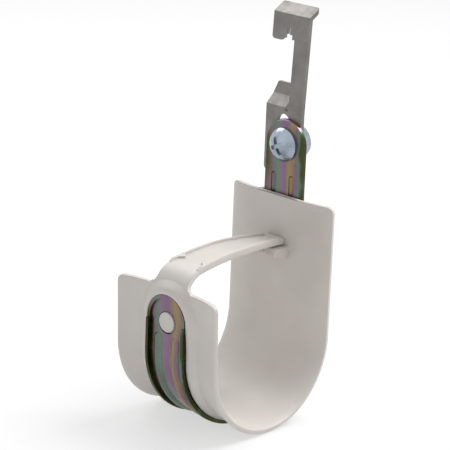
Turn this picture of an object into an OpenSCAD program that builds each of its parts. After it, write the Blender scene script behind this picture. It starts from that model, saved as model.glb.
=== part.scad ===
// J hook cable support: a bent steel strip that carries a moulded cable saddle,
// with a retainer arm over the cables and a sheet steel clip to hang it from a rod.
// +Z is up, +X runs along the cables and +Y points from the lip to the back.
// The origin is the top of the clip's stepped notch, halfway through its sheet.

/* [Cradle] */
// Inside radius of the cradle
bend_r = 25.6; // [20:0.1:32]
// Width of the saddle along the cables
saddle_w = 49.2; // [40:0.5:70]
// Wall thickness of the saddle
saddle_t = 1.8; // [1.4:0.1:2.2]
// How far the tips of the wings curl away from the cables
flare = 2.5; // [1:0.1:4]
// Height of the back plate above the centre of the bend
back_h = 48.2; // [44:0.1:58]
// Height of the lip above the centre of the bend
lip_h = 24; // [22:0.1:25]
// Radius of the saddle's top corners
corner_r = 2.4; // [1:0.1:4]

/* [Frame strip] */
// Width of the steel strip
strip_w = 18.5; // [16:0.1:22]
// Thickness of the steel strip
strip_t = 1.2; // [0.9:0.1:1.4]
// Depth of the strip over its side flanges
flange_h = 2.6; // [2.2:0.1:3.4]
// Depth of the strip over the lower rim round its ends
rim_h = 2; // [1.7:0.1:2.2]
// Distance of each rib from the middle of the strip
rib_x = 4.3; // [3.8:0.1:5]
// Height of the ribs above the strip
rib_h = 0.9; // [0.5:0.1:1.2]
// Width of each rib
rib_w = 3.7; // [3:0.1:4]
// Height of the screw above the centre of the bend
screw_z = 66.6; // [62:0.1:76]
// Distance from the screw down to the upper ends of the ribs
rib_drop = 12; // [10:0.1:14]
// Distance from the post down to the lower ends of the ribs
post_to_rib = 6.5; // [5:0.1:7]
// Distance from the post up to the centre of the strip's lower round end
end_up = 1; // [0.6:0.1:2]
// Distance from the back plate's top down to the tall flanges' upper ends
flange_drop = 3; // [1:0.1:6]

/* [Saddle fastening] */
// Diameter of the post that fixes the saddle to the strip
post_d = 7.4; // [6:0.1:9]
// Distance of the post below the top of the lip
post_drop = 12.4; // [11:0.1:13]
// How far the post stands out of the strip
post_out = 0.6; // [0.4:0.1:1.2]
// Gap round the post in its hole
post_gap = 0.5; // [0.3:0.1:0.8]
// Width of the boss's sloping flank, part of it sunk in the lip
boss_flank = 4.6; // [3:0.1:5]
// Width of the boss's flat rim
boss_rim = 0.9; // [0.6:0.1:1.5]
// Depth of the boss's rim below the strip's rim
boss_drop = 0.3; // [0.1:0.1:0.8]
// Thickness of the guide rails
rail_t = 1.6; // [1.2:0.1:2.2]
// Height of the guide rails on the back plate
rail_h = 2.8; // [2:0.1:3.2]
// Height of the sloping shoulders beside the strip, round the bend and up the lip
shoulder_h = 1.4; // [0.6:0.1:1.8]
// Width of the shoulders
shoulder_w = 4.6; // [3:0.1:6]

/* [Retainer arm] */
// Width of the arm near its root
arm_root_w = 15.6; // [13:0.1:17]
// Width of the arm at its shoulder, above the centre of the bend
arm_mid_w = 13.4; // [11:0.1:14.5]
// Width of the arm at its free end
arm_tip_w = 8.8; // [8:0.1:10]
// Thickness of the arm between its rims
arm_t = 2; // [1.7:0.1:2.4]
// Height of the rims above the arm
arm_rim_h = 0.8; // [0.4:0.1:1.2]
// Width of the rims
arm_rim_w = 1.3; // [1:0.1:1.8]
// Outside radius of the bend at the arm's root
root_r = 10; // [8:0.1:12]
// Depth of that bend's centre below the top of the lip
root_sink = 2.7; // [1:0.1:4]
// Height of the arm's crown above the top of the lip
arm_rise = 9.4; // [8.5:0.1:12]
// Distance of the crown behind the centre of the bend
crown_y = 3.9; // [0:0.1:8]
// Radius of the arm from its crown to its free end
crown_r = 190; // [120:5:300]
// Radius of the fillets where the arm's root meets the lip
root_fillet = 2.3; // [1.5:0.1:3]
// Radius of the arm's flexing edge
knuckle_r = 1.25; // [1.1:0.05:1.4]
// Gap between the arm's free end and the back plate
tip_gap = 0.4; // [0.3:0.1:0.8]
// Distance from the lip's outside to the start of the rims
rim_start = 6; // [5:0.1:8]

/* [Catch] */
// Distance of the catch's outer faces apart
catch_w = 12.4; // [11:0.1:14]
// Width of the slot in the catch
catch_slot = 3.8; // [3:0.1:4.4]
// How far the catch stands out of the back plate
catch_out = 8; // [7:0.1:9]
// Height of the catch at its free end
catch_tip_h = 2.7; // [2:0.1:3.2]
// Height of the catch at the back plate
catch_root_h = 4.7; // [4:0.1:6]
// How far the catch's front slopes back from bottom to top
catch_slope = 1.4; // [0.5:0.1:2]
// Gap between the arm's free end and the catch below it
catch_gap = 0.2; // [0.15:0.05:0.4]
// Thickness of the tongue under the arm's free end
tongue_w = 3; // [2.4:0.1:3.2]
// Length of the tongue along the arm
tongue_l = 3.4; // [2.5:0.1:4]
// How far the tongue reaches down into the catch
tongue_h = 3.4; // [2.5:0.1:4]
// Distance from the back plate to the tongue
tongue_gap = 1.2; // [0.8:0.1:2]

/* [Rod clip] */
// Width of the clip
clip_w = 17.2; // [14:0.1:20]
// Distance of the clip's middle from the screw
clip_offset = 2.6; // [1.6:0.1:3.6]
// Sheet thickness of the clip
clip_t = 1.6; // [1.2:0.1:2]
// Distance from the screw down to the clip's lower end
clip_down = 12; // [9:0.1:14]
// Distance from the screw up to the clip's lower bend
clip_up = 11.8; // [11:0.1:16]
// Backward lean of the clip above its lower bend in degrees
clip_lean = 3.3; // [0:0.1:6]
// Diameter of the spare hole above the screw
spare_d = 6; // [4.5:0.1:7]
// Height of the spare hole above the screw
spare_up = 7.5; // [7:0.1:8.5]
// Width of the leg
leg_w = 6.5; // [5.5:0.1:8]
// Width of the slot beside the leg
relief_w = 1.4; // [1:0.1:2]
// Height of the flap's foot before it bends back
flap_foot = 1.2; // [0.8:0.1:2]
// Distance that the flap is joggled back
flap_back = 3.4; // [2:0.1:4]
// Height of the flap's sloping part
flap_slope = 3.7; // [3:0.1:5]
// Height of the flap above its sloping part
flap_h = 4.4; // [3:0.1:5]
// How much narrower the flap is at its top
flap_taper = 2.4; // [1:0.1:4]
// Height of the leg from the lower bend to the jaw
jaw_up = 25; // [22:0.1:34]
// Height of the jaw from its tip to the tab's bend
jaw_h = 9.1; // [8.8:0.1:12]
// Depth of the notch
notch_h = 5; // [5:0.1:6]
// Width of the notch at its top
notch_top_w = 1.5; // [1.2:0.1:2]
// Width of the notch at its middle step
notch_mid_w = 3.8; // [3:0.1:4.5]
// Distance from the notch's top down to its middle step
notch_mid = 2.6; // [2:0.1:3]
// Distance from the notch's top down to its widest step
notch_low = 4.2; // [3.4:0.1:4.6]
// Distance of the notch from the clip's middle
notch_offset = 1; // [0.4:0.1:1.4]
// Size of the bevel on the jaw's lower corner
jaw_bevel = 0.8; // [0.4:0.1:1.5]
// Radius of the clip's round corners
clip_r = 2; // [1:0.1:3]
// Length of the tab at the top
tab_l = 5; // [3:0.1:8]
// Rise of the tab in degrees
tab_rise = 32; // [10:1:60]

/* [Fasteners] */
// Diameter of the screw
screw_d = 6.35; // [5:0.05:6.4]
// Diameter of the screw's pan head
head_d = 12.4; // [11:0.1:13]
// Height of the screw's pan head
head_h = 4.1; // [3:0.1:4.6]
// Height of the head's straight edge
head_edge = 0.8; // [0.3:0.1:1.2]
// Length of the arms of the cross recess from tip to tip
cross_l = 6.8; // [5:0.1:7.5]
// Width of the arms of the cross recess
cross_w = 1.5; // [1:0.1:2]
// Depth of the cross recess
cross_h = 1.6; // [1:0.1:2.2]
// How far the cross recess is turned in degrees
cross_turn = 25; // [0:1:90]
// Length of the screw under its head
screw_l = 9.5; // [9:0.1:14]
// Size of the nut across its flats
nut_af = 11.1; // [10:0.1:12]
// Height of the nut
nut_h = 4.8; // [4:0.1:6]

/* [Hidden] */
$fn = 96;
// Clearance between the strip and the saddle
fit = 0.1;
// Clearance round the strip's edges
side_fit = 0.2;
// Clearance between the arm's knuckle and its seat
seat_gap = 0.25;
// Length by which cutters run past a face
cut = 1;

// The strip, seen in section
strip_r = bend_r + saddle_t + fit;
rib_rise = strip_t + rib_h;
rib_r = (rib_w * rib_w / 4 + rib_h * rib_h) / (2 * rib_h);
rib_c = rib_rise - rib_r;
rib_foot = asin((strip_t / 2 - rib_c) / rib_r);
post_z = lip_h - post_drop;
lip_rib_z = post_z - post_to_rib;
back_rib_z = screw_z - rib_drop;
end_z = post_z + end_up;
flange_top = back_h - flange_drop;

// The saddle, seen in section
flat_x = strip_w / 2 + side_fit;
wing_x = saddle_w / 2;
wing_r = ((wing_x - flat_x) * (wing_x - flat_x) + flare * flare) / (2 * flare);

// The retainer arm, seen from the side
root_z = lip_h - root_sink;
root_y = -bend_r - saddle_t + sqrt(root_r * root_r - root_sink * root_sink);
crown_z = lip_h + arm_rise;
shoulder = 2 * atan((crown_z - root_z - root_r) / (crown_y - root_y));
long_r = root_r + (crown_y - root_y) / sin(shoulder);
// Angles round the root's bend where it leaves the lip and where the arm flexes
root_angle = 176;
hinge_angle = 150;
hinge_r = root_r - arm_t / 2;
hinge_y = root_y + hinge_r * cos(hinge_angle);
hinge_z = root_z + hinge_r * sin(hinge_angle);
// Depth of the seat's flat below the knuckle's centre
seat_sink = 0.6 * knuckle_r;
tip_y = bend_r - tip_gap;
tip_under_z = crown_z - crown_r + sqrt(crown_r * crown_r - pow(tip_y - crown_y, 2)) - arm_t;
catch_z = tip_under_z - catch_gap;

// The clip, in its own places
clip_y = strip_r + rim_h;
clip_z = screw_z + clip_up;
clip_left = -clip_offset - clip_w / 2;
clip_right = clip_left + clip_w;
leg_x = clip_right - leg_w;
notch_x = -clip_offset - notch_offset;
notch_z = jaw_up + notch_h;
bend_z = jaw_up + jaw_h;
jaw_z = clip_z + jaw_up * cos(clip_lean);
clip_foot = screw_z - clip_down;
tab_turn = 90 - clip_lean - tab_rise;
// How far the flap's solid overlaps the plate below the lower bend
flap_lap = clip_w / 4;

// The notch's top, from the centre of the bend: it is the part's origin
origin_x = notch_x;
origin_y = clip_y + notch_z * sin(clip_lean) + clip_t / 2 * cos(clip_lean);
origin_z = clip_z + notch_z * cos(clip_lean) - clip_t / 2 * sin(clip_lean);

// Points of an arc: centre, radius, and angles from a to b
function arc(c, r, a, b, n = 16) =
    [for (i = [0:n]) c + r * [cos(a + (b - a) * i / n), sin(a + (b - a) * i / n)]];

// Pieces are drawn about the centre of the bend and moved to the origin at the notch
module placed() translate([-origin_x, -origin_y, -origin_z]) children();

// A section drawn as x across the strip and y away from the cables,
// carried round the bend, up the back from z0 to z1 or up the lip
module round_bend() {
    rotate([0, 90, 0]) rotate([0, 0, -90])
        rotate_extrude(angle = 180, $fn = 240) mirror([0, 1]) rotate(-90) children();
}
module up_back(z0, z1) translate([0, 0, z0]) linear_extrude(z1 - z0) children();
module up_lip(z0, z1) translate([0, 0, z0]) linear_extrude(z1 - z0) mirror([0, 1]) children();

// ---- J frame ----

module flanges(depth) {
    for (side = [-1, 1])
        translate([side * (strip_w - strip_t) / 2, strip_r + strip_t + (depth - strip_t) / 2])
            square([strip_t, depth - strip_t], center = true);
}

module web() {
    translate([strip_t - strip_w / 2, strip_r]) square([strip_w - 2 * strip_t, strip_t]);
    for (side = [-1, 1])
        intersection() {
            translate([side * (strip_w / 2 - strip_t), strip_r + strip_t]) circle(strip_t);
            translate([-strip_w / 2, strip_r]) square([strip_w, strip_t]);
        }
}

module strip_section(depth) {
    web();
    flanges(depth);
}

// Half of a rib's section, standing on the strip's inner face
function half_rib(r, from, low) = concat(
    arc([0, rib_c], r, from, 90, 6), [[0, low], [r * cos(from), low]]);

module rib_section(half) {
    for (side = [-1, 1], flip = [0, 1])
        translate([side * rib_x, strip_r]) mirror([flip, 0]) polygon(half);
}

// Round end of both ribs, above z = 0 and standing out in +Y
module rib_ends(half) {
    for (side = [-1, 1])
        translate([side * rib_x, strip_r, 0]) rotate([-90, 0, 0]) rotate([0, 0, 180])
            rotate_extrude(angle = 180) polygon(half);
}

// Both ribs, all along the strip
module ribs(half) {
    round_bend() rib_section(half);
    up_back(0, back_rib_z) rib_section(half);
    translate([0, 0, back_rib_z]) rib_ends(half);
    up_lip(0, lip_rib_z) rib_section(half);
    translate([0, 0, lip_rib_z]) mirror([0, 1, 0]) rib_ends(half);
}

// The strip's round end, above z = 0 and standing out in +Y
module round_end() {
    translate([0, strip_r, 0]) rotate([-90, 0, 0]) rotate([0, 0, 180]) rotate_extrude(angle = 180)
        intersection() {
            translate([0, -strip_r]) strip_section(rim_h);
            translate([0, -cut]) square([strip_w, rim_h + 2 * cut]);
        }
}

module plain_strip() {
    round_bend() strip_section(flange_h);
    up_back(0, flange_top) strip_section(flange_h);
    up_back(flange_top, screw_z) strip_section(rim_h);
    translate([0, 0, screw_z]) round_end();
    up_lip(0, post_z) strip_section(flange_h);
    up_lip(post_z, end_z) strip_section(rim_h);
    translate([0, 0, end_z]) mirror([0, 1, 0]) round_end();
}

module j_frame() {
    color([0.56, 0.47, 0.53]) placed() difference() {
        union() {
            plain_strip();
            ribs(half_rib(rib_r, rib_foot, strip_t / 2));
        }
        ribs(half_rib(rib_r - strip_t, 0, -cut));
        translate([0, strip_r - cut, screw_z]) rotate([-90, 0, 0])
            cylinder(d = screw_d + 2 * side_fit, h = flange_h + 2 * cut);
        translate([0, -strip_r + cut, post_z]) rotate([90, 0, 0])
            cylinder(d = post_d + 2 * post_gap, h = flange_h + 2 * cut);
    }
}

// ---- Saddle ----

// Flat wall behind the strip, with a flared wing on each side
module wall_section() {
    span = wing_x - flat_x;
    inner = arc([flat_x, bend_r + wing_r], wing_r, -90, asin(span / wing_r) - 90, 10);
    outer = arc([flat_x, bend_r + wing_r], wing_r - saddle_t,
        asin(span / (wing_r - saddle_t)) - 90, -90, 10);
    wing = concat(inner, outer);
    polygon(concat(wing, [for (i = [len(wing) - 1:-1:0]) [-wing[i][0], wing[i][1]]]));
}

// Guide rails on the back plate, which hold the strip sideways
module rail_section() {
    for (side = [-1, 1])
        translate([side * (flat_x + rail_t / 2), bend_r + saddle_t / 2 + (saddle_t / 2 + rail_h) / 2])
            square([rail_t, saddle_t / 2 + rail_h], center = true);
}

// Shoulders that slope from the strip's edges down to the wings
module shoulder_section() {
    for (flip = [0, 1])
        mirror([flip, 0]) polygon([
            [flat_x, bend_r + saddle_t / 2],
            [flat_x, bend_r + saddle_t + shoulder_h],
            [flat_x + shoulder_w, bend_r + saddle_t],
            [flat_x + shoulder_w, bend_r + saddle_t / 2]]);
}

// Takes the two top corners off a wall that stands in the XZ plane
module corner_cutters(top, y) {
    for (side = [-1, 1])
        translate([side * (wing_x - corner_r), y, top - corner_r]) rotate([90, 0, 0])
            linear_extrude(6 * saddle_t + 2 * flare, center = true) difference() {
                translate([side > 0 ? 0 : -corner_r - cut, 0]) square(corner_r + cut);
                circle(corner_r);
            }
}

// Raised seat that holds the strip's round end, with a sloping flank
module boss() {
    translate([0, -bend_r - saddle_t / 2, end_z]) rotate([90, 0, 0])
        cylinder(r1 = flat_x + boss_rim + boss_flank, r2 = flat_x + boss_rim,
            h = saddle_t / 2 + fit + rim_h - boss_drop);
}

module strip_pocket() {
    translate([0, -bend_r - saddle_t, end_z]) rotate([90, 0, 0])
        cylinder(r = flat_x, h = flange_h + 2 * cut);
    translate([-flat_x, -bend_r - saddle_t - flange_h - 2 * cut, 0])
        cube([2 * flat_x, flange_h + 2 * cut, end_z]);
}

// Moulded root of the arm: a short curved wall with fillets down to the lip
module root_wall() {
    difference() {
        rotate([90, 0, 90]) linear_extrude(arm_root_w + 2 * root_fillet, center = true)
            polygon(concat(
                arc([root_y, root_z], root_r, root_angle, hinge_angle, 8),
                arc([root_y, root_z], root_r - arm_t, hinge_angle, root_angle, 8)));
        for (side = [-1, 1])
            translate([side * (arm_root_w / 2 + root_fillet), 0, lip_h + root_fillet])
                rotate([90, 0, 0]) cylinder(r = root_fillet, h = 2 * bend_r);
    }
}

// Clears the arm's knuckle and all that lies above it
module seat_cutter() {
    translate([0, hinge_y, hinge_z]) rotate([0, 90, 0])
        cylinder(r = knuckle_r + seat_gap, h = saddle_w, center = true);
    translate([-saddle_w / 2, hinge_y, hinge_z]) rotate([hinge_angle - 90, 0, 0])
        translate([0, -bend_r / 2, -seat_sink]) cube([saddle_w, bend_r, bend_r / 2]);
}

// Two brackets on the back plate, with a slot for the arm's tongue between them
module catch_brackets() {
    for (side = [-1, 1])
        translate([side * (catch_w + catch_slot) / 4, 0, 0]) rotate([90, 0, 90])
            linear_extrude((catch_w - catch_slot) / 2, center = true) polygon([
                [bend_r + saddle_t / 2, catch_z],
                [bend_r - catch_out + catch_slope, catch_z],
                [bend_r - catch_out, catch_z - catch_tip_h],
                [bend_r, catch_z - catch_root_h],
                [bend_r + saddle_t / 2, catch_z - catch_root_h]]);
}

module saddle() {
    color([0.86, 0.85, 0.81]) placed() {
        difference() {
            union() {
                round_bend() wall_section();
                up_back(0, back_h) wall_section();
                up_lip(0, lip_h) wall_section();
                up_back(0, back_h) rail_section();
                round_bend() shoulder_section();
                up_lip(0, end_z) shoulder_section();
                catch_brackets();
                difference() {
                    union() {
                        boss();
                        root_wall();
                    }
                    seat_cutter();
                }
            }
            corner_cutters(back_h, bend_r);
            corner_cutters(lip_h, -bend_r);
            strip_pocket();
        }
        translate([0, -bend_r - saddle_t / 2, post_z]) rotate([90, 0, 0])
            cylinder(d = post_d, h = saddle_t / 2 + fit + strip_t + post_out);
    }
}

// ---- Retainer arm ----

// Side view of the arm: up is the top surface raised by that much
function arm_top(up) = concat(
    arc([root_y, root_z], root_r + up, hinge_angle, 90 + shoulder, 14),
    arc([crown_y, crown_z - long_r], long_r + up, 90 + shoulder, 90, 16),
    arc([crown_y, crown_z - crown_r], crown_r + up, 90, 90 - asin((tip_y - crown_y) / crown_r), 12));
function arm_under() = concat(
    arc([crown_y, crown_z - crown_r], crown_r - arm_t, 90 - asin((tip_y - crown_y) / crown_r), 90, 12),
    arc([crown_y, crown_z - long_r], long_r - arm_t, 90, 90 + shoulder, 16),
    arc([root_y, root_z], root_r - arm_t, 90 + shoulder, hinge_angle, 14));

module arm_side(up) {
    rotate([90, 0, 90]) linear_extrude(arm_root_w, center = true)
        polygon(concat(arm_top(up), arm_under()));
}

// Plan of the arm, smaller all round by inset
module arm_plan(inset) {
    half = [arm_root_w / 2 - inset, arm_mid_w / 2 - inset, arm_tip_w / 2 - inset];
    front = root_y - root_r;
    back = tip_y - inset;
    polygon([[-half[0], front], [half[0], front], [half[1], 0], [half[2], back],
        [-half[2], back], [-half[1], 0]]);
}

module arm_rims() {
    intersection() {
        arm_side(arm_rim_h);
        difference() {
            translate([0, 0, lip_h]) linear_extrude(crown_z) arm_plan(0);
            translate([0, 0, lip_h - cut]) linear_extrude(crown_z + 2 * cut) arm_plan(arm_rim_w);
            translate([-arm_root_w, -2 * bend_r, lip_h - cut])
                cube([2 * arm_root_w, bend_r - saddle_t + rim_start, crown_z]);
        }
    }
}

module retainer_arm() {
    color([0.91, 0.9, 0.87]) placed() {
        intersection() {
            arm_side(0);
            translate([0, 0, hinge_z - root_r]) linear_extrude(crown_z) arm_plan(0);
        }
        arm_rims();
        translate([0, hinge_y, hinge_z]) rotate([0, 90, 0])
            cylinder(r = knuckle_r, h = arm_root_w, center = true);
        translate([-tongue_w / 2, bend_r - tongue_gap - tongue_l, tip_under_z - tongue_h])
            cube([tongue_w, tongue_l, tongue_h + arm_t / 2]);
    }
}

// ---- Rod clip ----

// Point of the leaning sheet: height above the lower bend, and depth behind its front
function lean(up, back) = [
    clip_y + up * sin(clip_lean) + back * cos(clip_lean),
    clip_z + up * cos(clip_lean) - back * sin(clip_lean)];

// Point of the tab, from the inside of its bend
function on_tab(out, up) = lean(bend_z, clip_t)
    + out * [cos(tab_rise), sin(tab_rise)] + up * [-sin(tab_rise), cos(tab_rise)];

// A side view drawn in Y and Z, made solid from x0 to x1
module across(x0, x1) translate([x0, 0, 0]) rotate([90, 0, 90]) linear_extrude(x1 - x0) children();

// A front view drawn in X and Z, made solid through all of the clip
module through() translate([0, clip_y + clip_w, 0]) rotate([90, 0, 0]) linear_extrude(2 * clip_w) children();

// Side view of the plate, the leg, the jaw and the tab
module sheet_side() {
    outer_bend = tan(tab_turn / 2);
    polygon([
        [clip_y, clip_foot], [clip_y, clip_z],
        lean(bend_z + clip_t * outer_bend, 0), on_tab(tab_l, clip_t), on_tab(tab_l, 0),
        lean(bend_z, clip_t),
        [clip_y + clip_t, clip_z - clip_t * tan(clip_lean / 2)], [clip_y + clip_t, clip_foot]]);
}

// Side view of the flap, joggled back and standing up again
module flap_side() {
    bend = clip_t * tan(atan(flap_back / flap_slope) / 2);
    top = flap_foot + flap_slope + flap_h;
    polygon([
        [clip_y, clip_z - flap_lap], [clip_y, clip_z],
        lean(flap_foot, 0), lean(flap_foot + flap_slope, flap_back), lean(top, flap_back),
        lean(top, flap_back + clip_t), lean(flap_foot + flap_slope - bend, flap_back + clip_t),
        lean(flap_foot - bend, clip_t),
        [clip_y + clip_t, clip_z - clip_t * tan(clip_lean / 2)], [clip_y + clip_t, clip_z - flap_lap]]);
}

// Takes the two corners off an outline, below z = 0 or above it by flipping
module corner_cutter(z, flip) {
    for (side = [0, 1])
        translate([clip_left + side * clip_w, z]) mirror([side, 0]) mirror([0, flip])
            difference() {
                translate([-cut, -cut]) square(clip_r + cut);
                translate([clip_r, clip_r]) circle(clip_r);
            }
}

// Stepped notch, widening downward from its top, and the open gap below the jaw
module notch() {
    steps = [[notch_top_w / 2, 0], [notch_mid_w / 2, notch_mid], [leg_x - notch_x, notch_low]];
    for (step = steps)
        translate([notch_x - step[0], jaw_z - cut]) square([2 * step[0], notch_h * cos(clip_lean) + cut - step[1]]);
    translate([clip_left - cut, clip_z]) square([leg_x - clip_left + cut, jaw_z - clip_z]);
    translate([clip_left, jaw_z]) rotate(45) square(jaw_bevel * sqrt(2), center = true);
}

module clip_sheet() {
    difference() {
        across(clip_left, clip_right) sheet_side();
        through() {
            notch();
            corner_cutter(clip_foot, 0);
            translate([0, screw_z]) circle(d = screw_d + 2 * side_fit);
            translate([-clip_offset, screw_z + spare_up]) circle(d = spare_d);
        }
        translate([0, 0, clip_z + bend_z - clip_t]) linear_extrude(tab_l + 2 * clip_t)
            corner_cutter(on_tab(tab_l, 0)[0], 1);
    }
}

module flap() {
    top = flap_foot + flap_slope + flap_h;
    difference() {
        across(clip_left, leg_x - relief_w) flap_side();
        through() polygon([
            [clip_left - cut, lean(flap_foot + flap_slope, 0)[1]],
            [clip_left, lean(flap_foot + flap_slope, 0)[1]],
            [clip_left + flap_taper, lean(top, 0)[1] + cut],
            [clip_left - cut, lean(top, 0)[1] + cut]]);
        through() translate([-clip_offset, screw_z + spare_up]) circle(d = spare_d);
    }
}

module rod_clip() {
    color([0.5, 0.49, 0.47]) placed() {
        clip_sheet();
        flap();
    }
}

// ---- Fasteners ----

module pan_head() {
    crown = head_h - head_edge;
    dome_r = (head_d * head_d / 4 + crown * crown) / (2 * crown);
    cylinder(d = head_d, h = head_edge);
    translate([0, 0, head_edge]) intersection() {
        translate([0, 0, crown - dome_r]) sphere(dome_r, $fn = 128);
        cylinder(d = head_d, h = crown);
    }
}

module pan_screw() {
    color([0.74, 0.76, 0.8]) placed() translate([0, strip_r, screw_z]) rotate([90, 0, 0]) {
        difference() {
            pan_head();
            for (turn = [cross_turn, cross_turn + 90])
                rotate([0, 0, turn]) translate([0, 0, head_h])
                    cube([cross_l, cross_w, 2 * cross_h], center = true);
        }
        rotate([180, 0, 0]) cylinder(d = screw_d, h = screw_l);
    }
}

module hex_nut() {
    color([0.74, 0.76, 0.8]) placed() translate([0, clip_y + clip_t, screw_z]) rotate([-90, 0, 0])
        difference() {
            intersection() {
                cylinder(d = nut_af / cos(30), h = nut_h, $fn = 6);
                cylinder(r1 = nut_af / 2 + nut_h, r2 = nut_af / 2, h = nut_h);
            }
            translate([0, 0, -cut]) cylinder(d = screw_d, h = nut_h + 2 * cut);
        }
}

j_frame();
saddle();
retainer_arm();
rod_clip();
pan_screw();
hex_nut();
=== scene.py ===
import math

import bmesh
import bpy
from mathutils import Matrix, Vector


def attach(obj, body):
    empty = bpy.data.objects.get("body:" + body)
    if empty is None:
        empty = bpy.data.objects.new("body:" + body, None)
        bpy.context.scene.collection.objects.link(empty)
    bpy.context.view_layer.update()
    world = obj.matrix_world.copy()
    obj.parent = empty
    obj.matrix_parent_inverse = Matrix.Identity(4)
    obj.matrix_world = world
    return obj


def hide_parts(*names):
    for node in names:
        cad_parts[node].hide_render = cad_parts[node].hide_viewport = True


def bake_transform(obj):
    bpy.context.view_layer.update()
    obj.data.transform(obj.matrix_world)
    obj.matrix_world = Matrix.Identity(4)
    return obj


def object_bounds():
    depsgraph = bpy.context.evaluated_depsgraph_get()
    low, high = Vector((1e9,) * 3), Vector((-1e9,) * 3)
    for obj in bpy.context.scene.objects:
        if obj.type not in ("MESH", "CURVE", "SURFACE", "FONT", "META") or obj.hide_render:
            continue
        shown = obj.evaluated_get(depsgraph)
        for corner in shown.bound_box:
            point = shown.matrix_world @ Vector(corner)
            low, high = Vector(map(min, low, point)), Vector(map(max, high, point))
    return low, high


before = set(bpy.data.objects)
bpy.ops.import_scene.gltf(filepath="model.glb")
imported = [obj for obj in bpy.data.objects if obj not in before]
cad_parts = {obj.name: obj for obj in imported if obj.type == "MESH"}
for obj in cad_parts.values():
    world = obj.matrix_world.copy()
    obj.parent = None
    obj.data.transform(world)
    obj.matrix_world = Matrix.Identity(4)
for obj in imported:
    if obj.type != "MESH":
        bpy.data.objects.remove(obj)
cad_low, cad_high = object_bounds()

# Sizes are in millimetres about the centre of the cradle's bend.
# X runs along the cables, Y from the lip to the back plate and Z up.
MM = 0.001
BEND_CENTRE = Vector((3.6, -31.8256, -108.304))
BEND_R = 25.4
LEAN = math.radians(2)
WALL = 1.8
FLAT_X = 9.45
WING_X = 24.6
FLARE = 2.6
WING_R = ((WING_X - FLAT_X) ** 2 + FLARE ** 2) / (2 * FLARE)
CORNER_R = 2.4
BACK_TOP = 48.2
LIP_TOP = 24
ROOT_Y, ROOT_Z, ROOT_R = -18.4, 21.3, 8.28
CROWN_Y, CROWN_Z = 3.7, 31.6
SHOULDER = 2 * math.atan((CROWN_Z - ROOT_Z - ROOT_R) / (CROWN_Y - ROOT_Y))
LONG_R = ROOT_R + (CROWN_Y - ROOT_Y) / math.sin(SHOULDER)
CROWN_R = 188
FLEX_ANGLE = 145
FILLET = 2.3
RIM_W = 1.3
RIM_H = 0.8
TIP_Y = 25.15
STRIP_R = BEND_R + WALL + 0.1
STRIP_X = 9.25
STRIP_T = 1.2
STRIP_END = 12.6
SCREW_Z = 66.6
CLIP_Y = 29.4
CLIP_T = 1.6


def at(x, y, z):
    """The part's own place, in metres, of a point about the centre of the bend."""
    return (Vector((x, y, z)) + BEND_CENTRE) * MM


def about_bend(place):
    return place / MM - BEND_CENTRE


# ---- Ways of working ----

def pick(kind, test):
    """In edit mode, selects the corners, edges or faces whose middle and normal pass the test."""
    bpy.ops.mesh.select_mode(type=kind)
    bpy.ops.mesh.select_all(action="DESELECT")
    mesh = bmesh.from_edit_mesh(bpy.context.object.data)
    if kind == "VERT":
        for corner in mesh.verts:
            corner.select = test(about_bend(corner.co))
    elif kind == "EDGE":
        for edge in mesh.edges:
            edge.select = test(about_bend((edge.verts[0].co + edge.verts[1].co) / 2))
    else:
        for face in mesh.faces:
            face.select = test(about_bend(face.calc_center_median()), face.normal)
    mesh.select_flush_mode()
    bmesh.update_edit_mesh(bpy.context.object.data)


def nudge(here, there):
    """Moves the corner at one place to another."""
    here, there = Vector(here), Vector(there)
    pick("VERT", lambda p: (p - here).length < 0.02)
    bpy.ops.transform.translate(value=(there - here) * MM)


def draw(name, points, closed=False, filled=False):
    """Starts a piece with a line through the points, left in edit mode with all of it selected."""
    bpy.ops.object.select_all(action="DESELECT")
    bpy.ops.mesh.primitive_plane_add(size=MM)
    piece = bpy.context.object
    piece.name = name
    bpy.ops.object.mode_set(mode="EDIT")
    bpy.ops.mesh.select_mode(type="VERT")
    bpy.ops.mesh.merge(type="CENTER")
    bpy.ops.transform.translate(value=at(*points[0]))
    run = list(points) + [points[0]] if closed else list(points)
    for here, there in zip(run, run[1:]):
        extrude(Vector(there) - Vector(here))
    bpy.ops.mesh.select_all(action="SELECT")
    bpy.ops.mesh.remove_doubles(threshold=0.001 * MM)
    if filled:
        bpy.ops.mesh.edge_face_add()
    return piece


def extrude(move):
    bpy.ops.mesh.extrude_region_move(TRANSFORM_OT_translate={"value": Vector(move) * MM})


def spin(steps, degrees, centre, axis):
    bpy.ops.mesh.spin(steps=steps, angle=math.radians(degrees), center=at(*centre), axis=axis)


def close_seams(threshold=0.005):
    bpy.ops.mesh.select_all(action="SELECT")
    bpy.ops.mesh.remove_doubles(threshold=threshold * MM)
    bpy.ops.mesh.normals_make_consistent(inside=False)


def mirror_half():
    """Adds the other half, on the other side of the middle of the strip."""
    bpy.ops.mesh.select_all(action="SELECT")
    bpy.ops.mesh.duplicate()
    bpy.ops.transform.resize(value=(-1, 1, 1), center_override=at(0, 0, 0))
    close_seams()


def leave(piece):
    bpy.ops.object.mode_set(mode="OBJECT")
    return piece


def apply(piece, kind, **settings):
    bpy.context.view_layer.objects.active = piece
    modifier = piece.modifiers.new(kind.title(), kind)
    for name, value in settings.items():
        setattr(modifier, name, value)
    bpy.ops.object.modifier_apply(modifier=modifier.name)


def join_solid(piece, tool, operation="UNION"):
    apply(piece, "BOOLEAN", object=tool, operation=operation, solver="EXACT")
    bpy.data.objects.remove(tool)


def soften(piece, width, angle=40, segments=2):
    apply(piece, "BEVEL", width=width * MM, segments=segments, limit_method="ANGLE",
          angle_limit=math.radians(angle), use_clamp_overlap=False, miter_outer="MITER_SHARP")


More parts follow.
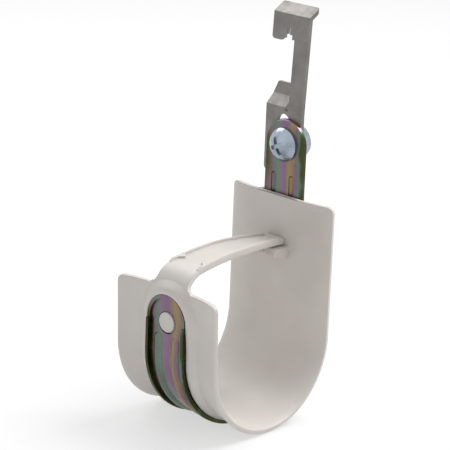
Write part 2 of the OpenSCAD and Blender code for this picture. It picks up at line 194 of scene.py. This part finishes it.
def smooth(piece, degrees=32):
    bpy.ops.object.select_all(action="DESELECT")
    piece.select_set(True)
    bpy.context.view_layer.objects.active = piece
    bpy.ops.object.shade_smooth_by_angle(angle=math.radians(degrees))


def hand_over(piece, finish, body, node):
    """Gives the finished piece its material and, where one is given, its body, and hides the CAD part of the node
    it stands for.
    """
    smooth(piece)
    piece.data.materials.clear()
    piece.data.materials.append(finish)
    if body:
        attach(piece, body)
    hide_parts(node)


def lip_y(z, depth=0.0):
    """Y on the lip at that height, that deep behind its inner face."""
    return (-BEND_R - depth - z * math.sin(LEAN)) / math.cos(LEAN)


LIP_OUT = Vector((0, -math.cos(LEAN), -math.sin(LEAN)))


# ---- Moulded saddle and retainer arm ----

def wing_depth(x):
    """How far the wing curls away from the cables at x."""
    return WING_R - math.sqrt(WING_R ** 2 - max(0, x - FLAT_X) ** 2)


def round_corner(z, down, outward):
    """Draws in the wing's tip at a row that far below the top edge."""
    tip = WING_X - CORNER_R + math.sqrt(CORNER_R ** 2 - (CORNER_R - down) ** 2)
    here = z + outward * wing_depth(WING_X)
    there = z + outward * wing_depth(tip)
    nudge(here + Vector((WING_X, 0, 0)), there + Vector((tip, 0, 0)))


def arm_half(y):
    """Half the arm's width at y."""
    line = [(-28.5, 7.8), (-8, 6.95), (2, 6.7), (25.2, 4.3)]
    for (y0, w0), (y1, w1) in zip(line, line[1:]):
        if y <= y1:
            return w0 + (w1 - w0) * (y - y0) / (y1 - y0)
    return line[-1][1]


def arm_path():
    """Rows along the underside of the arm: y, z and the distance from the lip while in the fillets."""
    rows = []
    for angle in (161, 160, 158, 155, 152.5, 150, 147.5, 146, 145, 143, 140, 136, 132, 128, 124, 120, 116, 112, 108,
                  104, 90 + math.degrees(SHOULDER)):
        turn = math.radians(angle)
        rows.append((ROOT_Y + ROOT_R * math.cos(turn), ROOT_Z + ROOT_R * math.sin(turn),
                     (ROOT_R + WALL / 2) * math.radians(161 - angle)))
    for i in range(1, 15):
        turn = math.radians(90) + SHOULDER * (1 - i / 14)
        rows.append((CROWN_Y + LONG_R * math.cos(turn), CROWN_Z - LONG_R + LONG_R * math.sin(turn), 99))
    for y in (5.7, 7.7, 9.7, 11.7, 13.7, 15.7, 17.7, 19.7, 21.2, 22.6, 23.1, 24.2, TIP_Y):
        rows.append((y, CROWN_Z - CROWN_R + math.sqrt(CROWN_R ** 2 - (y - CROWN_Y) ** 2), 99))
    return rows


def moulded_sheet():
    """Inner face of the right half: down the back plate, round the bend, up the lip and along the arm."""
    columns = (0, 3, 6, FLAT_X, 10.1, 12, 14, 16, 18, 20.1, 22.2, WING_X)
    downs = (0, 0.1, 0.4, 0.9, 1.6, CORNER_R)
    sheet = draw("moulded_saddle", [(x, BEND_R + wing_depth(x), BACK_TOP) for x in columns])
    here = BACK_TOP
    for z in [BACK_TOP - down for down in downs[1:]] + [38, 28, 19, 10, 0]:
        extrude((0, 0, z - here))
        here = z
    spin(64, 180 - math.degrees(LEAN), (0, 0, 0), (1, 0, 0))
    foot = Vector((0, lip_y(-BEND_R * math.sin(LEAN)), -BEND_R * math.sin(LEAN)))
    for z in [4, 8, 12, 17] + [LIP_TOP - down for down in reversed(downs)]:
        there = Vector((0, lip_y(z), z))
        extrude(there - foot)
        foot = there
    rows = arm_path()
    pick("VERT", lambda p: abs(p.z - LIP_TOP) < 0.01 and p.y < 0 and p.x < 10.2)
    for (y0, z0, s0), (y1, z1, s1) in zip([(foot.y, foot.z, 0)] + rows[1:], rows[1:]):
        extrude((0, y1 - y0, z1 - z0))
    for y, z, away in rows[1:]:
        half = arm_half(y)
        if away < FILLET:
            half = 10.1 - math.sqrt(FILLET ** 2 - (FILLET - away) ** 2)
        rim = half - RIM_W
        nudge((10.1, y, z), (half, y, z))
        nudge((FLAT_X, y, z), (rim, y, z))
        nudge((6, y, z), (rim * 0.64, y, z))
        nudge((3, y, z), (rim * 0.32, y, z))
    for down in downs[:-1]:
        round_corner(Vector((0, BEND_R, BACK_TOP - down)), down, Vector((0, 1, 0)))
        round_corner(Vector((0, lip_y(LIP_TOP - down), LIP_TOP - down)), down, LIP_OUT)
    close_seams()
    mirror_half()
    mesh = bmesh.from_edit_mesh(sheet.data)
    lowest = min(mesh.faces, key=lambda face: face.calc_center_median().z)
    if lowest.normal.z > 0:
        bpy.ops.mesh.flip_normals()
    return leave(sheet)


def on_arm(p):
    return p.z > LIP_TOP and p.y < BEND_R - 0.05 and \
        math.degrees(math.atan2(p.z - ROOT_Z, p.y - ROOT_Y)) < FLEX_ANGLE


def raise_rims():
    """Raises a rim along both edges of the arm and a low bar across its free end."""
    bpy.ops.object.mode_set(mode="EDIT")
    pick("FACE", lambda p, n: on_arm(p) and n.z > 0.5 and -21.2 < p.y < 22.7 and abs(p.x) > arm_half(p.y) - RIM_W)
    extrude((0, 0, RIM_H))
    pick("VERT", lambda p: p.y < -20.4 and p.z > 31.5 and abs(p.x) > 5)
    bpy.ops.transform.translate(value=(0, 0, -0.45 * MM))
    pick("FACE", lambda p, n: on_arm(p) and n.z > 0.5 and p.y > 23.1)
    extrude((0, 0, 0.6))
    bpy.ops.object.mode_set(mode="OBJECT")


def part_at_flex(saddle):
    """Parts the arm from the saddle where it begins to flex, and closes both."""
    bpy.ops.object.select_all(action="DESELECT")
    saddle.select_set(True)
    bpy.context.view_layer.objects.active = saddle
    bpy.ops.object.mode_set(mode="EDIT")
    pick("FACE", lambda p, n: on_arm(p))
    bpy.ops.mesh.separate(type="SELECTED")
    bpy.ops.object.mode_set(mode="OBJECT")
    arm = [o for o in bpy.context.selected_objects if o != saddle][0]
    arm.name = "flexing_arm"
    for piece in (saddle, arm):
        bpy.ops.object.select_all(action="DESELECT")
        bpy.context.view_layer.objects.active = piece
        bpy.ops.object.mode_set(mode="EDIT")
        bpy.ops.mesh.select_mode(type="EDGE")
        bpy.ops.mesh.select_all(action="DESELECT")
        bpy.ops.mesh.select_non_manifold()
        bpy.ops.mesh.edge_face_add()
        bpy.ops.object.mode_set(mode="OBJECT")
    return arm


def root_fall(z):
    """How far the arm's root has curved away from the lip's plane at that height."""
    if z < LIP_TOP:
        return 0
    outer = ROOT_R + WALL
    return ROOT_Y - math.sqrt(max(0, outer ** 2 - (z - ROOT_Z) ** 2)) - lip_y(z, WALL)


def boss_and_shoulders():
    """Raised seat round the strip's end, running down beside the strip and round the bend."""
    profile = [(FLAT_X, -0.9), (FLAT_X, 1.7), (9.75, 1.85), (10.3, 1.85), (10.9, 1.74), (11.6, 1.42), (12.3, 0.98),
               (13.1, 0.5), (13.8, 0.17), (14.4, -0.15), (14.9, -0.7), (14.9, -0.9)]
    centre = Vector((0, lip_y(STRIP_END, WALL), STRIP_END))
    up = Vector((0, -math.sin(LEAN), math.cos(LEAN)))
    body = draw("boss", [centre + up * r + LIP_OUT * d for r, d in profile], closed=True)
    spin(20, 90, centre, LIP_OUT)
    mesh = bmesh.from_edit_mesh(body.data)
    side = [corner for corner in mesh.verts if corner.select]
    if side[0].co.x < at(0, 0, 0).x:
        bpy.ops.mesh.select_all(action="SELECT")
        bpy.ops.transform.resize(value=(-1, 1, 1), center_override=at(0, 0, 0))
        pick("VERT", lambda p: p.x > 9 and abs(p.z - STRIP_END) < 0.3)
    here = Vector(centre)
    fade = 0.93
    for z in (10.5, 8.5, 6.5, 4.5, 2, -BEND_R * math.sin(LEAN)):
        there = Vector((0, lip_y(z, WALL), z))
        extrude(there - here)
        if z > 4:
            bpy.ops.transform.resize(value=(1, fade, 1), center_override=at(*there))
        here = there
    spin(64, -(180 - math.degrees(LEAN)), (0, 0, 0), (1, 0, 0))
    bpy.ops.mesh.edge_face_add()
    mesh = bmesh.from_edit_mesh(body.data)
    high = [about_bend(corner.co) for corner in mesh.verts if about_bend(corner.co).z > LIP_TOP]
    for p in high:
        nudge(p, p + Vector((0, root_fall(p.z), 0)))
    mirror_half()
    return leave(body)


def guide_rails():
    """Rails behind the back plate that hold the strip sideways."""
    rails = draw("rails", [(FLAT_X, 26.3, BACK_TOP), (FLAT_X, 30, BACK_TOP), (11.05, 30, BACK_TOP),
                           (11.05, 26.3, BACK_TOP)], closed=True, filled=True)
    extrude((0, 0, -BACK_TOP))
    mirror_half()
    leave(rails)
    soften(rails, 0.3)
    return rails


def catch_prongs():
    """Two prongs on the back plate, with a slot between them for the arm's tongue."""
    prongs = draw("prongs", [(1.9, 26.3, 30.05), (1.9, 18.9, 30.05), (1.9, 17.5, 27.4), (1.9, 25.4, 25.4),
                             (1.9, 26.3, 25.4)], closed=True, filled=True)
    extrude((4.3, 0, 0))
    mirror_half()
    leave(prongs)
    soften(prongs, 0.35)
    return prongs


def staked_post():
    """Post that passes through the hole in the strip, with a rounded rim and a shallow dish in its face."""
    centre = Vector((0, lip_y(11.8, WALL), 11.8))
    up = Vector((0, -math.sin(LEAN), math.cos(LEAN)))
    profile = [(0, 1.7), (2.6, 1.72), (3.1, 1.86), (3.5, 1.8), (3.7, 1.55), (3.7, -0.9), (0, -0.9)]
    post = draw("post", [centre + up * r + LIP_OUT * d for r, d in profile])
    spin(48, 360, centre, LIP_OUT)
    close_seams()
    return leave(post)


def tongue():
    """Tongue under the arm's free end, which drops into the slot of the catch."""
    low = draw("tongue", [(-1.45, 20.9, 26.9), (1.45, 20.9, 26.9), (1.45, 23.9, 26.9), (-1.45, 23.9, 26.9)],
               closed=True, filled=True)
    extrude((0, 0, 4.2))
    bpy.ops.transform.resize(value=(1.06, 1.25, 1), center_override=at(0, 22.4, 0))
    close_seams()
    leave(low)
    soften(low, 0.25)
    return low


def moulded_pieces():
    saddle = moulded_sheet()
    apply(saddle, "SOLIDIFY", thickness=WALL * MM, offset=1, use_even_offset=True)
    raise_rims()
    soften(saddle, 0.3)
    arm = part_at_flex(saddle)
    for extra in (boss_and_shoulders(), guide_rails(), catch_prongs(), staked_post()):
        join_solid(saddle, extra)
    join_solid(arm, tongue())
    return saddle, arm


# ---- Finishes ----

class Finish:
    """A procedural material that is put together on the object's own coordinates."""

    def __init__(self, name, roughness, metallic=0.0):
        self.material = bpy.data.materials.new(name)
        self.material.use_nodes = True
        self.tree = self.material.node_tree
        self.shader = self.tree.nodes["Principled BSDF"]
        self.shader.inputs["Roughness"].default_value = roughness
        self.shader.inputs["Metallic"].default_value = metallic
        self.place = self.tree.nodes.new("ShaderNodeTexCoord").outputs["Object"]

    def link(self, source, target):
        self.tree.links.new(source, target)

    def noise(self, scale, detail=3.0, stretch=(1, 1, 1)):
        """Mottling, with that many grains to the metre."""
        mapping = self.tree.nodes.new("ShaderNodeMapping")
        mapping.inputs["Scale"].default_value = stretch
        texture = self.tree.nodes.new("ShaderNodeTexNoise")
        texture.inputs["Scale"].default_value = scale
        texture.inputs["Detail"].default_value = detail
        self.link(self.place, mapping.inputs["Vector"])
        self.link(mapping.outputs["Vector"], texture.inputs["Vector"])
        return texture.outputs["Fac"]

    def ramp(self, amount, stops):
        """Colours laid along an amount from 0 to 1."""
        node = self.tree.nodes.new("ShaderNodeValToRGB")
        while len(node.color_ramp.elements) < len(stops):
            node.color_ramp.elements.new(0.5)
        for element, (where, colour) in zip(node.color_ramp.elements, stops):
            element.position = where
            element.color = (*colour, 1)
        self.link(amount, node.inputs["Fac"])
        return node.outputs["Color"]

    def span(self, amount, low, high):
        """An amount from 0 to 1 carried over to the range from low to high."""
        node = self.tree.nodes.new("ShaderNodeMapRange")
        node.inputs["From Min"].default_value = 0.3
        node.inputs["From Max"].default_value = 0.7
        node.inputs["To Min"].default_value = low
        node.inputs["To Max"].default_value = high
        self.link(amount, node.inputs["Value"])
        return node.outputs["Result"]

    def bump(self, amount, strength, depth):
        node = self.tree.nodes.new("ShaderNodeBump")
        node.inputs["Strength"].default_value = strength
        node.inputs["Distance"].default_value = depth * MM
        self.link(amount, node.inputs["Height"])
        self.link(node.outputs["Normal"], self.shader.inputs["Normal"])

    def colour(self, source):
        self.link(source, self.shader.inputs["Base Color"])

    def roughness(self, source):
        self.link(source, self.shader.inputs["Roughness"])


def pale_plastic():
    finish = Finish("moulded_plastic", 0.42)
    finish.colour(finish.ramp(finish.noise(60), [(0.3, (0.60, 0.56, 0.525)), (0.7, (0.645, 0.61, 0.575))]))
    finish.roughness(finish.span(finish.noise(350), 0.38, 0.5))
    finish.bump(finish.noise(2600, 2), 0.25, 0.04)
    return finish.material


def passivated_steel_with_painted_shade():
    """Yellow-zinc plate: green and gold ribs and mauve between, drifting along the strip, with painted shade
    darkening the flanges at both edges to a near-black olive.
    """
    finish = Finish("strip_steel", 0.3, 1.0)
    apart = finish.tree.nodes.new("ShaderNodeSeparateXYZ")
    finish.link(finish.place, apart.inputs["Vector"])
    across = finish.tree.nodes.new("ShaderNodeMapRange")
    across.inputs["From Min"].default_value = at(-STRIP_X, 0, 0).x
    across.inputs["From Max"].default_value = at(STRIP_X, 0, 0).x
    finish.link(apart.outputs["X"], across.inputs["Value"])
    drift = finish.span(finish.noise(120, 3, (1, 1, 0.4)), -0.11, 0.11)
    film_and_flange_shade = finish.tree.nodes.new("ShaderNodeMath")
    film_and_flange_shade.operation = "ADD"
    finish.link(across.outputs["Result"], film_and_flange_shade.inputs[0])
    finish.link(drift, film_and_flange_shade.inputs[1])
    # Painted shade: the near-black olive stops at 0.00, 0.07 and 1.00 darken the flanges; the stops between are the
    # plate's film colours.
    finish.colour(finish.ramp(film_and_flange_shade.outputs[0], [
        (0.00, (0.045, 0.05, 0.02)), (0.07, (0.09, 0.10, 0.04)), (0.14, (0.20, 0.12, 0.15)),
        (0.25, (0.13, 0.18, 0.15)), (0.36, (0.15, 0.20, 0.16)), (0.45, (0.24, 0.14, 0.22)),
        (0.56, (0.20, 0.13, 0.21)), (0.68, (0.27, 0.22, 0.09)), (0.78, (0.25, 0.17, 0.12)),
        (0.86, (0.18, 0.12, 0.19)), (0.94, (0.13, 0.19, 0.13)), (1.00, (0.06, 0.07, 0.03))]))
    finish.roughness(finish.span(finish.noise(500), 0.24, 0.38))
    finish.bump(finish.noise(1500, 3, (1, 1, 0.2)), 0.2, 0.03)
    return finish.material


def clip_steel():
    finish = Finish("clip_steel", 0.42, 1.0)
    finish.colour(finish.ramp(finish.noise(140), [(0.3, (0.19, 0.18, 0.17)), (0.7, (0.26, 0.25, 0.24))]))
    finish.roughness(finish.span(finish.noise(420), 0.36, 0.5))
    finish.bump(finish.noise(1800, 3), 0.2, 0.03)
    return finish.material


def zinc_steel():
    finish = Finish("zinc_steel", 0.24, 1.0)
    finish.colour(finish.ramp(finish.noise(220), [(0.3, (0.26, 0.31, 0.38)), (0.7, (0.40, 0.45, 0.52))]))
    finish.roughness(finish.span(finish.noise(700), 0.18, 0.32))
    finish.bump(finish.noise(2200, 2), 0.15, 0.02)
    return finish.material


# ---- The pieces ----

plastic = pale_plastic()
saddle, arm = moulded_pieces()
hand_over(saddle, plastic, "hook", "saddle")
hand_over(arm, plastic, None, "retainer_arm")
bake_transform(arm)

zinc = zinc_steel()
for node, finish in (("saddle", plastic), ("retainer_arm", plastic), ("j_frame", passivated_steel_with_painted_shade()),
                     ("rod_clip", clip_steel()), ("pan_screw", zinc), ("hex_nut", zinc)):
    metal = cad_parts[node]
    metal.data.materials.clear()
    metal.data.materials.append(finish)


# ---- Camera, floor and light ----

def set_camera():
    turn, rise, roll = math.radians(43.616), math.radians(17.275), math.radians(2.293)
    toward = Vector((math.sin(turn) * math.cos(rise), -math.cos(turn) * math.cos(rise), math.sin(rise)))
    right = Vector((math.cos(turn), math.sin(turn), 0))
    up = toward.cross(right)
    side = math.cos(roll) * right + math.sin(roll) * up
    top = -math.sin(roll) * right + math.cos(roll) * up
    place = BEND_CENTRE + toward * 790.92 + side * 0.463 + top * 39.74
    bpy.ops.object.camera_add(location=place * MM)
    camera = bpy.context.object
    camera.rotation_euler = Matrix((side, top, toward)).transposed().to_euler()
    camera.data.lens = 176
    camera.data.sensor_width = 36
    camera.data.clip_start = 0.01
    bpy.context.scene.camera = camera


def light_path_white(tree, surface, white, share):
    """Mixes plain white over a surface or sky, where the camera, a gloss or a clear piece looks at it."""
    path = tree.nodes.new("ShaderNodeLightPath")
    seen = path.outputs["Is Camera Ray"]
    for ray in ("Is Glossy Ray", "Is Transmission Ray"):
        either = tree.nodes.new("ShaderNodeMath")
        either.operation = "MAXIMUM"
        tree.links.new(seen, either.inputs[0])
        tree.links.new(path.outputs[ray], either.inputs[1])
        seen = either.outputs[0]
    amount = tree.nodes.new("ShaderNodeMath")
    amount.operation = "MULTIPLY"
    amount.inputs[1].default_value = share
    tree.links.new(seen, amount.inputs[0])
    mix = tree.nodes.new("ShaderNodeMixShader")
    tree.links.new(amount.outputs[0], mix.inputs["Fac"])
    tree.links.new(surface, mix.inputs[1])
    tree.links.new(white, mix.inputs[2])
    return mix.outputs["Shader"]


def set_floor():
    bpy.ops.object.select_all(action="DESELECT")
    bpy.ops.mesh.primitive_circle_add(vertices=64, radius=4, fill_type="NGON", location=(0, 0, cad_low.z))
    floor = bpy.context.object
    floor.name = "floor"
    pale = bpy.data.materials.new("pale_floor")
    pale.use_nodes = True
    tree = pale.node_tree
    shader = tree.nodes["Principled BSDF"]
    shader.inputs["Base Color"].default_value = (0.86, 0.86, 0.86, 1)
    shader.inputs["Roughness"].default_value = 1
    shader.inputs["Specular IOR Level"].default_value = 0
    glow = tree.nodes.new("ShaderNodeEmission")
    glow.inputs["Color"].default_value = (1, 1, 1, 1)
    glow.inputs["Strength"].default_value = 1
    tree.links.new(light_path_white(tree, shader.outputs["BSDF"], glow.outputs["Emission"], 0.6),
                   tree.nodes["Material Output"].inputs["Surface"])
    floor.data.materials.append(pale)


def set_lights():
    world = bpy.data.worlds.new("studio")
    bpy.context.scene.world = world
    world.use_nodes = True
    tree = world.node_tree
    sky = tree.nodes["Background"]
    sky.inputs["Color"].default_value = (1, 1, 1, 1)
    sky.inputs["Strength"].default_value = 0.52
    white = tree.nodes.new("ShaderNodeBackground")
    white.inputs["Color"].default_value = (1, 1, 1, 1)
    tree.links.new(light_path_white(tree, sky.outputs["Background"], white.outputs["Background"], 1.0),
                   tree.nodes["World Output"].inputs["Surface"])
    for place, size, power in (((0.25, 0.45, 0.75), 0.6, 8.5), ((-0.6, 0.1, 0.5), 0.5, 2.0)):
        bpy.ops.object.light_add(type="AREA", location=place)
        lamp = bpy.context.object
        lamp.data.size = size
        lamp.data.energy = power
        lamp.rotation_euler = (BEND_CENTRE * MM - Vector(place)).to_track_quat("-Z", "Y").to_euler()


bpy.context.scene.view_settings.view_transform = "Standard"
set_camera()
set_floor()
set_lights()
